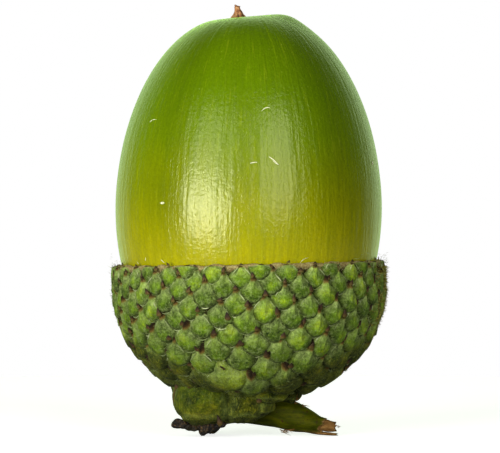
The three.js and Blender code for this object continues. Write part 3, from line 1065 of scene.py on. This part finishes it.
    def hems(self, places, pitches, wides, swell):
        """Pale down along the edges of the scales: three thin tubes on each, r = g sin(pi s).

        Two lie at an angle of 0.34 + 0.8 reach s from the point and rho 0.84 - 0.12 s; one lies at
        1.5 reach (s - 0.5) from the lower edge's middle and rho 0.93. All are on scale_dome.
        """
        rng = np.random.default_rng(SEED + 6)
        count = len(pitches)
        scale = np.tile(np.arange(count), 3)
        side = np.repeat([-1.0, 1.0, 0.0], count)[:, None, None]
        share = np.linspace(0.02, 0.98, 9)[None, :, None]
        around_tube = np.linspace(0, 2 * np.pi, 5, endpoint=False)[None, None, :]
        reach = rng.uniform(0.7, 1.35, len(scale))[:, None, None]
        lower = -np.pi / 2 + 1.5 * (share - 0.5) * reach
        angle = np.where(side == 0, lower, np.pi / 2 + side * (0.34 + 0.8 * reach * share))
        rho = np.where(side == 0, 0.93, 0.84 - 0.12 * share)
        rho = rho + rng.normal(0, 0.03, len(scale))[:, None, None]
        size = pitches[scale][:, None, None]
        across, along, out = scale_dome(rho, angle, swell, wides[scale][:, None, None])
        girth = rng.uniform(0.014, 0.044, len(scale))[:, None, None] * np.sin(np.pi * share)
        inward = girth * np.sin(around_tube)
        across = across * size - inward * np.cos(angle)
        along = along * size - inward * np.sin(angle)
        out = (out - SCALE_LEAN * along / size) * size + 0.05 + girth * np.cos(around_tube)
        points = under_rim(on_wall(tuple(part[scale] for part in places), across, along, out), 0.15)
        return with_channels(points, rng.uniform(0, 1, len(scale))[:, None, None])

    def points(self, places, pitches, swell):
        """A flattened cone on each scale's tip, curving outwards as s^1.5.

        r = (0.2 + 0.11 (pitch - 1.3)) (1 - s)^0.8, varied at random and drawn in at its foot.
        """
        rng = np.random.default_rng(SEED + 2)
        count = len(pitches)
        share = np.linspace(0, 0.97, 6)[None, :, None]
        angle = np.linspace(0, 2 * np.pi, 8, endpoint=False)[None, None, :]
        size = pitches[:, None, None]
        length = (0.42 + 0.24 * (size - 1.3)) * rng.uniform(0.75, 1.35, count)[:, None, None]
        radius = (0.2 + 0.11 * (size - 1.3)) * rng.uniform(0.8, 1.25, count)[:, None, None]
        girth = radius * (1 - share) ** 0.8 * np.clip(0.55 + 3 * share, 0, 1)
        sway = rng.normal(0, 0.1, count)[:, None, None]
        across = girth * np.cos(angle) + sway * share**2
        along = 0.68 * size + length * share
        out = (0.88 * swell - 0.03) * size + 0.1 * share**1.5 - 0.05 + girth * 0.5 * np.sin(angle)
        near_rim = np.clip((wall_outline(0.92)[1] - places[0][:, 2]) / 0.5, 0, 1)[:, None, None]
        points = on_wall(places, across, along + 0 * angle, out * (0.35 + 0.65 * near_rim))
        points = under_rim(points, 0.45)
        return with_channels(points, share + 0 * angle + rng.uniform(-0.15, 0.1, count)[:, None, None])

    def foot(self):
        """The swollen scales under the cup: uneven rounded blocks of power 2.2.

        Each is wider below its middle and draws in above it as 1 - 0.3 rise^2. Its darkness falls by 0.3
        rise from its listed low: painted shade on its lower side and painted light on its top.
        """
        # the low column is how dark each lump is, for age and painted shade
        lumps = [  # centre, half widths, low
            ((-2.95, -1.6, 2.75), (2.3, 2.25, 2.0), 0.8),
            ((-0.75, -1.45, 2.65), (2.15, 2.05, 1.7), 1.0),
            ((-4.8, -0.6, 2.95), (0.68, 1.5, 1.3), 0.9),
            ((1.55, -2.4, 3.4), (1.45, 1.25, 0.9), 0.8),
            ((0.95, -1.8, 2.3), (0.95, 1.2, 0.72), 1.0),
            ((-2.3, 1.6, 2.85), (2.5, 2.1, 1.85), 0.9),
            ((0.9, 1.4, 3.0), (2.0, 1.9, 1.4), 0.95),
            ((-4.4, 1.9, 3.6), (1.2, 1.4, 1.2), 0.8),
            ((2.6, 0.1, 3.3), (1.3, 1.5, 0.9), 1.0),
        ]
        middles = np.array([centre for centre, _, _ in lumps])
        widths = np.array([half for _, half, _ in lumps])
        rings = []
        for index, (centre, half, low) in enumerate(lumps):
            ball = ball_rings(centre, half, 44, 64, 2.2)
            rise = (ball[..., 2] - centre[2]) / half[2]
            pinch = 1 - 0.3 * np.clip(rise, 0, 1) ** 2 + 0.08 * np.clip(-rise, 0, 1)
            level = np.array(centre)[:2]
            ball[..., :2] = level + (ball[..., :2] - level) * pinch[..., None]
            away = unit(ball - centre)
            uneven = 0.13 * ripple(ball, 2.2, 21) + 0.09 * ripple(ball, 0.8, 22)
            ball += away * uneven[..., None]
            others = np.arange(len(lumps)) != index
            depth = (ball[:, :, None] - middles[others]) / widths[others]
            gap = np.linalg.norm(depth, axis=-1).min(-1) - 1
            # painted shade in the creases between the lumps
            painted_crease_shade = np.clip(1 - gap / 0.16, 0, 1)
            wavy = rise + 0.12 * ripple(ball, 2.6, 23)
            margin = np.maximum(0.45 * bell(gap - 0.16, 0.07), 0.6 * bell(wavy + 0.62, 0.06))
            # painted shade: each lump darker towards its lower side and lighter on top
            dim = np.clip(low - 0.3 * rise, 0, 1)
            torn = np.clip((ball[..., 2] - 3.7 + 0.25 * ripple(ball, 1.1, 24)) / 0.4, 0, 0.55)
            if index == 2:
                torn = np.maximum(torn, 0.62 * np.clip(1.3 - gap / 0.12, 0, 1))
            rings.append(with_channels(ball, margin, painted_crease_shade, 0.5, dim, torn))
        return np.array(rings)

    def foot_points(self):
        """Dry points on the foot: cones, r = 0.26 (1 - s)^0.8, drawn in where they start."""
        share = np.linspace(0, 0.97, 6)
        cones = []
        for base, way, length in (
            ((-5.1, -1.9, 3.45), (-0.2, -0.25, 1), 0.75),
            ((-4.2, -3.1, 3.6), (-0.1, -0.1, 1), 0.7),
            ((-3.3, -3.6, 3.9), (0.2, -0.1, 1), 0.6),
            ((-2.0, -3.55, 0.95), (-0.3, -0.25, 1), 0.85),
            ((-2.5, -3.75, 3.75), (-0.1, -0.1, 1), 0.55),
            ((0.75, -3.2, 2.55), (0.1, -0.2, 1), 0.6),
            ((-4.5, -2.3, 2.2), (-0.5, -0.1, 1), 0.7),
        ):
            path = np.array(base) + unit(np.array(way, float)) * length * share[:, None]
            cones.append(rod(path, 0.26 * (1 - share) ** 0.8 * np.clip(0.55 + 3 * share, 0, 1), 8))
        return with_channels(np.array(cones), share[None, :, None])

    def down(self, places, pitches, look):
        """Hairs on the scales: thin cones that leave scale_dome's surface low, mostly downwards."""
        rng = np.random.default_rng(SEED + 3)
        count = look.hairs
        weight = pitches**2 / (pitches**2).sum()
        pick = rng.choice(len(pitches), count, p=weight)
        rho = np.sqrt(rng.uniform(0.02, 0.98, count))[:, None, None]
        angle = rng.uniform(-np.pi / 2, np.pi * 1.5, count)[:, None, None]
        size = pitches[pick][:, None, None]
        across, along, out = scale_dome(rho, angle, look.swell)
        spots = tuple(part[pick] for part in places)
        base = on_wall(spots, across * size, along * size, (out - SCALE_LEAN * along) * size)[:, 0, 0]
        ahead = scale_dome(np.minimum(rho + 0.06, 1), angle, look.swell)
        slope = unit(on_wall(spots, *(part * size for part in ahead))[:, 0, 0] - base)
        _, around, upward, outward = spots
        comb = unit(slope + 0.9 * rng.normal(size=(count, 1)) * around - 0.35 * upward)
        lift = rng.uniform(0.1, 0.6, (count, 1))
        way = unit(comb + lift * outward)
        length = look.hair_length * rng.uniform(0.5, 1.5, (count, 1))
        return self.hairs(base - 0.03 * outward, way, length, DOWN_RADIUS, rng)

    def moss(self):
        """Short threads on a patch at +X, denser in its middle, pointing out and mostly down."""
        rng = np.random.default_rng(SEED + 8)
        count = MOSS_THREADS
        turn = np.radians(rng.normal(-4, 8, count))
        share = rng.normal(0.79, 0.075, count).clip(0.6, 0.97)
        radius, height = wall_outline(share)
        away, around = spokes(turn)
        base = away * (radius + rng.uniform(0.15, 0.46, count))[:, None]
        base[:, 2] = height + rim_lift(base[:, 0], base[:, 1], height)
        way = unit(
            away * rng.uniform(0.1, 0.9, (count, 1))
            + around * rng.normal(0, 0.7, (count, 1))
            - np.array([0, 0, 1.0]) * rng.uniform(-0.4, 0.9, (count, 1))
        )
        return self.hairs(base, way, rng.uniform(0.14, 0.44, (count, 1)), MOSS_RADIUS, rng)

    def fringe(self):
        """Hairs on the rim's lip, pointing up and a little in or out."""
        rng = np.random.default_rng(SEED + 4)
        count = RIM_HAIRS
        turn = rng.uniform(0, 2 * np.pi, count)
        radius = rng.uniform(9.28, 9.68, count)
        away, around = spokes(turn)
        base = away * radius[:, None]
        base[:, 2] = WALL_RIM + 0.02 + rim_lift(base[:, 0], base[:, 1], WALL_RIM)
        base[:, 2] -= 2.0 * (radius - WALL_RADIUS).clip(0)
        way = unit(
            away * rng.normal(0.25, 0.5, (count, 1))
            + around * rng.normal(0, 0.6, (count, 1))
            + np.array([0, 0, 1.0]) * rng.uniform(0.2, 1.0, (count, 1))
        )
        return self.hairs(base, way, rng.uniform(0.1, 0.34, (count, 1)), RIM_HAIR_RADIUS, rng)

    def hairs(self, base, way, length, radius, rng):
        """Three-sided cones from a base along a way; a tone of its own for each."""
        side = unit(np.cross(way, rng.normal(size=base.shape)))
        other = np.cross(way, side)
        angle = np.array([0, 2, 4]) * np.pi / 3
        ring = (
            side[:, None] * np.cos(angle)[None, :, None] + other[:, None] * np.sin(angle)[None, :, None]
        )
        tone = rng.uniform(0, 1, (len(base), 1))
        rings = with_channels(base[:, None] + radius * ring, tone)[:, None]
        starts = with_channels(base, tone[:, 0])
        ends = with_channels(base + way * length, tone[:, 0])
        return rings, starts, ends


class ACORN_OT_stalk(Operator):
    """Make the stalk, its torn wood and its loose fibres"""

    bl_idname = "acorn.stalk"
    bl_label = "Stalk"

    def execute(self, context):
        look = context.scene.acorn_stalk
        bark = ring_mesh("stalk_body", self.bark(), channels=("torn",))
        finish_piece(bark, bark_material(look), "stalk_bark", "stalk")
        wood = wood_material(look)
        core = ring_mesh("stalk_core", self.core())
        finish_piece(core, wood, "stalk_bark")
        fibres = ring_mesh("stalk_fibres", self.fibres())
        finish_piece(fibres, wood, "stalk_bark")
        return {"FINISHED"}

    def bark(self):
        """An uneven rod of radius 1.42 - 0.8 s^1.6, cut flat just above 0, its end a ragged edge."""
        share = np.linspace(0, 1, 54)
        path = curve_through(
            [(-1.4, 0.3, 2.6), (1.3, 0.1, 1.95), (3.6, -0.2, 1.22), (5.35, -0.4, 0.68)], share
        )
        rings = rod(path, 1.42 - 0.8 * share**1.6, 48)
        angle = np.linspace(0, 2 * np.pi, 48, endpoint=False)[None, :]
        rings += unit(rings - path[:, None]) * (0.09 * ripple(rings * [0.5, 1, 1], 1.2, 31))[..., None]
        ragged = 0.16 * np.sin(3 * angle + 1) + 0.1 * np.sin(7 * angle) + 0.05 * np.sin(13 * angle + 2)
        rings[..., 0] += ragged * (share[:, None] ** 8)
        rings[..., 2] = np.maximum(rings[..., 2], 0.01)
        low = np.clip(1 - rings[..., 2] / 0.45, 0, 1) * (rings[..., 0] > 0.5)
        torn = np.clip(np.maximum(low, (share[:, None] - 0.97) / 0.03), 0, 1)
        return with_channels(rings, torn)[None]

    def core(self):
        """The torn wood that sticks out of the bark and the sliver of bark under it.

        Both are ragged rods of radius w (1 - 0.2 s^2), the lower one flattened.
        """
        share = np.linspace(0, 1, 22)
        angle = np.linspace(0, 2 * np.pi, 24, endpoint=False)[None, :]
        parts = []
        for path, wide, flat in (
            (
                [(4.9, -0.4, 0.8), (5.4, -0.45, 0.76), (5.85, -0.5, 0.68), (6.24, -0.5, 0.64)],
                0.43, 1.05,
            ),
            (
                [(4.9, -0.45, 0.25), (5.4, -0.5, 0.18), (5.9, -0.5, 0.12), (6.36, -0.5, 0.1)],
                0.4, 0.3,
            ),
        ):
            line = curve_through(path, share)
            rings = rod(line, wide * (1 - 0.2 * share**2), 24, flat)
            uneven = 0.05 * ripple(rings * [0.4, 1, 1], 0.5, 33)
            rings += unit(rings - line[:, None]) * uneven[..., None]
            rings[..., 0] += 0.09 * (np.sin(5 * angle) + np.sin(9 * angle + 1)) * share[:, None] ** 6
            rings[..., 2] = np.maximum(rings[..., 2], 0.005)
            parts.append(rings)
        return np.array(parts)

    def fibres(self):
        """Loose threads of torn bark: thin bent rods in four tufts along the stalk."""
        rng = np.random.default_rng(SEED + 5)
        share = np.linspace(0, 1, 7)
        parts = []
        tufts = [  # start, way, reach, count
            ((3.35, -0.9, 2.6), (0.25, -0.2, 0.5), 0.55, 9),
            ((3.7, -0.5, 2.2), (0.6, -0.1, 0.35), 0.4, 7),
            ((2.6, -0.9, 0.35), (0.9, -0.2, -0.1), 0.6, 12),
            ((6.2, -0.5, 0.62), (0.9, 0.0, -0.1), 0.22, 10),
        ]
        for start, way, reach, count in tufts:
            for _ in range(count):
                base = np.array(start) + rng.normal(0, 0.13, 3) * [1.6, 1, 0.7]
                turn = unit(np.array(way) + rng.normal(0, 0.22, 3))
                curl = rng.normal(0, 0.12, 3)
                line = base + turn * (share[:, None] * reach * rng.uniform(0.5, 1.2))
                line = line + curl * share[:, None] ** 2
                rings = rod(line, 0.035 * (1 - 0.8 * share), 5)
                rings[..., 2] = np.maximum(rings[..., 2], 0.004)
                parts.append(rings)
        return np.array(parts)


class ACORN_OT_withered_end(Operator):
    """Make the withered end of the stalk with its dead buds"""

    bl_idname = "acorn.withered_end"
    bl_label = "Withered end"

    def execute(self, context):
        material = withered_material()
        twig = ring_mesh("withered_twigs", self.twigs(), channels=("green",))
        finish_piece(twig, material, "withered_bud", "withered_end")
        buds = ring_mesh("withered_buds", self.buds(), channels=("green",))
        finish_piece(buds, material, "withered_bud")
        return {"FINISHED"}

    def twigs(self):
        """Crooked rods, radius start + (end - start) s^1.6, wrinkled by a ripple across them."""
        share = np.linspace(0, 1, 40)
        parts = []
        for start, end, green, path in (
            (0.4, 0.22, 0.2, [
                (-2.6, -1.3, 0.95), (-3.4, -1.6, 0.78), (-4.1, -1.8, 0.74), (-4.9, -2.0, 0.95),
            ]),
            (1.0, 0.1, 0.0, [
                (-2.9, -1.5, 1.25), (-3.05, -1.8, 0.9), (-3.2, -2.0, 0.5), (-3.25, -2.1, 0.1),
            ]),
            (0.45, 0.17, 0.0, [
                (-2.9, -1.6, 1.05), (-2.5, -1.9, 0.98), (-2.1, -2.1, 0.95), (-1.7, -2.3, 0.98),
            ]),
            (0.5, 0.4, 0.2, [
                (-2.6, -0.6, 0.7), (-2.7, 0.4, 0.6), (-2.9, 1.2, 0.5), (-3.0, 1.9, 0.42),
            ]),
        ):
            line = curve_through(path, share)
            rings = rod(line, start + (end - start) * share**1.6, 20)
            rings += unit(rings - line[:, None]) * (0.09 * ripple(rings, 0.7, 41))[..., None]
            rings[..., 2] = np.maximum(rings[..., 2], 0.01)
            parts.append(with_channels(rings, green))
        return np.array(parts)

    def buds(self):
        """Shrivelled knobs at the twigs' ends: rounded blocks of power 2.8, deeply rippled."""
        parts = []
        for centre, half, green in (
            ((-4.95, -2.0, 0.98), (0.55, 0.42, 0.34), 0.0),
            ((-4.55, -1.95, 0.72), (0.4, 0.3, 0.2), 0.1),
            ((-2.05, -2.25, 0.95), (0.36, 0.3, 0.2), 0.0),
            ((-3.0, 1.8, 0.48), (0.58, 0.8, 0.48), 0.1),
        ):
            ball = ball_rings(centre, half, 26, 32, 2.8)
            ball += unit(ball - centre) * (0.13 * ripple(ball, 0.7, 43))[..., None]
            ball[..., 2] = np.maximum(ball[..., 2], 0.005)
            parts.append(with_channels(ball, green))
        return np.array(parts)


# ---------------------------------------------------------------- stage


class ACORN_OT_stage(Operator):
    """Make the pale floor, the soft lights and the camera"""

    bl_idname = "acorn.stage"
    bl_label = "Stage"

    def execute(self, context):
        look = context.scene.acorn_stage
        self.floor()
        self.world()
        middle = Vector(LIGHT_TARGET)
        self.softbox("key_light", middle, -37, -2, (0.36, 0.3), look.key_power)
        self.softbox("upper_light", middle, -35, 24, (0.34, 0.26), look.key_power * 0.18)
        self.softbox("fill_light", middle, 25, 16, (0.32, 0.46), look.fill_power)
        self.camera(look)
        context.scene.view_settings.view_transform = "Standard"
        return {"FINISHED"}

    def floor(self):
        """A plain pale table top just below the part: a thin disc, r = 78, its edge rounded over 1."""
        edge = np.linspace(-np.pi / 2, np.pi / 2, 9)
        radius = np.concatenate([[30.0], 77 + np.cos(edge), [30.0]])[:, None]
        height = np.concatenate([[-1.0], 0.5 * np.sin(edge) - 0.5, [0.0]])[:, None] - 0.02
        turn = np.linspace(0, 2 * np.pi, 96, endpoint=False)[None, :]
        disc = np.stack(
            [radius * np.cos(turn), radius * np.sin(turn), height + 0 * turn], -1
        )
        floor = ring_mesh("floor", disc[None])
        recipe = Recipe("floor_paper")
        grain = recipe.noise(recipe.place(), 0.05, 2.0)
        paper = recipe.ramp(grain, [(0.0, (0.4, 0.4, 0.4)), (1.0, (0.42, 0.42, 0.42))])
        seen = recipe.add("LightPath", {}).outputs["Is Camera Ray"]
        paper = recipe.blend(seen, paper, (0.9, 0.9, 0.9))
        glow = recipe.math("MULTIPLY", seen, 0.72)
        floor.data.materials.append(
            recipe.surface(paper, 0.9, emission_color=(1, 1, 1, 1), emission_strength=glow)
        )

    def world(self):
        """Bright and faintly green behind the part, dim elsewhere; plain white to the camera."""
        world = bpy.data.worlds.new("studio")
        world.use_nodes = True
        bpy.context.scene.world = world
        tree = world.node_tree
        tree.nodes.clear()
        coordinates = tree.nodes.new("ShaderNodeTexCoord")
        parts = tree.nodes.new("ShaderNodeSeparateXYZ")
        share = tree.nodes.new("ShaderNodeMapRange")
        share.interpolation_type = "SMOOTHSTEP"
        for index, value in ((1, 0.45), (2, 0.95), (3, 0.035), (4, 1.1)):
            share.inputs[index].default_value = value
        ray = tree.nodes.new("ShaderNodeLightPath")
        level = tree.nodes.new("ShaderNodeMix")
        level.inputs[3].default_value = 1.0
        light = tree.nodes.new("ShaderNodeBackground")
        tint = tree.nodes.new("ShaderNodeMix")
        tint.data_type = "RGBA"
        tint.inputs[6].default_value = (0.84, 1.12, 0.62, 1)
        tint.inputs[7].default_value = (1, 1, 1, 1)
        output = tree.nodes.new("ShaderNodeOutputWorld")
        tree.links.new(coordinates.outputs["Generated"], parts.inputs[0])
        tree.links.new(parts.outputs[1], share.inputs[0])
        tree.links.new(ray.outputs["Is Camera Ray"], level.inputs[0])
        tree.links.new(ray.outputs["Is Camera Ray"], tint.inputs[0])
        tree.links.new(tint.outputs[2], light.inputs[0])
        tree.links.new(share.outputs[0], level.inputs[2])
        tree.links.new(level.outputs[0], light.inputs["Strength"])
        tree.links.new(light.outputs[0], output.inputs[0])

    def softbox(self, name, target, azimuth, elevation, size, power):
        """A rectangular light turned to the target; azimuth is from the camera, to the right."""
        light = bpy.data.lights.new(name, "AREA")
        light.shape = "RECTANGLE"
        light.size, light.size_y = size
        light.energy = power
        lamp = bpy.data.objects.new(name, light)
        turn, rise = math.radians(azimuth), math.radians(elevation)
        level = math.cos(rise)
        back = Vector((math.sin(turn) * level, -math.cos(turn) * level, math.sin(rise)))
        lamp.location = target + back * LIGHT_DISTANCE
        lamp.rotation_euler = (-back).to_track_quat("-Z", "Y").to_euler()
        bpy.context.scene.collection.objects.link(lamp)

    def camera(self, look):
        """A long lens nearly level with the acorn's middle."""
        data = bpy.data.cameras.new("camera")
        data.sensor_width = SENSOR_WIDTH
        data.lens = look.distance * SENSOR_WIDTH / look.width
        data.clip_start, data.clip_end = 0.01, 100
        camera = bpy.data.objects.new("camera", data)
        angle = look.height_angle
        back = Vector((0, -math.cos(angle), math.sin(angle)))
        camera.location = Vector(VIEW_CENTRE) + back * look.distance
        camera.rotation_euler = (-back).to_track_quat("-Z", "Y").to_euler()
        bpy.context.scene.collection.objects.link(camera)
        bpy.context.scene.camera = camera


# ---------------------------------------------------------------- panel


OPERATORS = (
    ACORN_OT_nut,
    ACORN_OT_flower_remains,
    ACORN_OT_cup,
    ACORN_OT_stalk,
    ACORN_OT_withered_end,
    ACORN_OT_stage,
)


class ACORN_PT_build(Panel):
    """Lists the acorn's pieces and their settings"""

    bl_label = "Acorn"
    bl_space_type = "VIEW_3D"
    bl_region_type = "UI"
    bl_category = "Acorn"

    def draw(self, context):
        for operator in OPERATORS:
            self.layout.operator(operator.bl_idname)
        for name, group in SETTINGS.items():
            box = self.layout.box()
            for setting in group.__annotations__:
                box.prop(getattr(context.scene, name), setting)


def register():
    """Makes the settings, operators and panel known to Blender."""
    for name, group in SETTINGS.items():
        bpy.utils.register_class(group)
        setattr(bpy.types.Scene, name, PointerProperty(type=group))
    for operator in OPERATORS:
        bpy.utils.register_class(operator)
    bpy.utils.register_class(ACORN_PT_build)


def unregister():
    """Takes them away again."""
    bpy.utils.unregister_class(ACORN_PT_build)
    for operator in reversed(OPERATORS):
        bpy.utils.unregister_class(operator)
    for name, group in SETTINGS.items():
        delattr(bpy.types.Scene, name)
        bpy.utils.unregister_class(group)


def main():
    """Builds every piece in order."""
    register()
    for operator in OPERATORS:
        group, name = operator.bl_idname.split(".")
        getattr(getattr(bpy.ops, group), name)()


if __name__ == "__main__":
    main()
